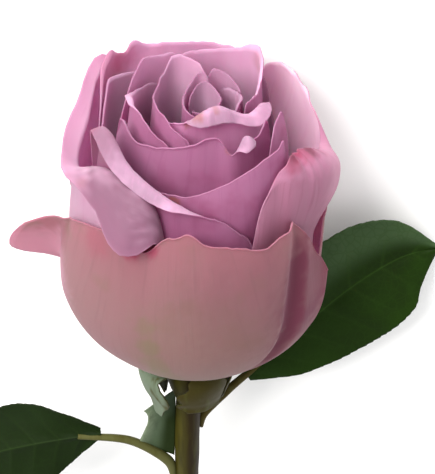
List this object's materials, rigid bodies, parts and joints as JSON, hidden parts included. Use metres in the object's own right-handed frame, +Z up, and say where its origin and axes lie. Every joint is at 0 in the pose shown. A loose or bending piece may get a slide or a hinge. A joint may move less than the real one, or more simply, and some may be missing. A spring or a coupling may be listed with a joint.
{
  "type": "cut rose flower",
  "caption": "Half-open rose bloom of separate curled petals on a hip with reflexed sepals, a cut stem and leaves, laid down on its back petal.",
  "frame": {"origin": "middle of the small flat on the back petal that the bloom lies on, at floor height", "axes": "+Z up from the floor, +Y from the cut stem end towards the bloom, +X to the right as the bloom faces up"},
  "size_m": [0.1183, 0.1957, 0.0595],
  "materials": {
    "outer_petal": "soft satin petal, greenish towards the foot",
    "inner_petal": "velvety mauve-pink petal",
    "stem_green": "smooth green bark, brown on one side",
    "leaf_green": "waxy dark green leaf"
  },
  "bodies": {
    "root": {"hip": "stem_green", "petal_guard_front": "outer_petal", "petal_guard_back": "outer_petal", "petal_side_low": "outer_petal", "petal_side_left": "inner_petal", "petal_side_right": "inner_petal", "petal_back_outer": "inner_petal", "petal_front_rolled": "inner_petal", "petal_left_mid": "inner_petal", "petal_front_deep": "inner_petal", "petal_right_curl": "inner_petal", "petal_back_right": "inner_petal", "petal_back_left": "inner_petal", "petal_front_folded": "inner_petal", "petal_left_pale": "inner_petal", "petal_left_inner": "inner_petal", "petal_front_inner": "inner_petal", "petal_back_inner": "inner_petal", "petal_right_inner": "inner_petal", "petal_heart_left": "inner_petal", "petal_heart_right": "inner_petal", "petal_heart_core": "inner_petal", "sepal_1": "stem_green", "sepal_2": "stem_green", "sepal_3": "stem_green", "sepal_4": "stem_green", "sepal_5": "stem_green", "stem": "stem_green", "leaf_right": "leaf_green", "leaf_left": "leaf_green"}
  },
  "joints": []
}
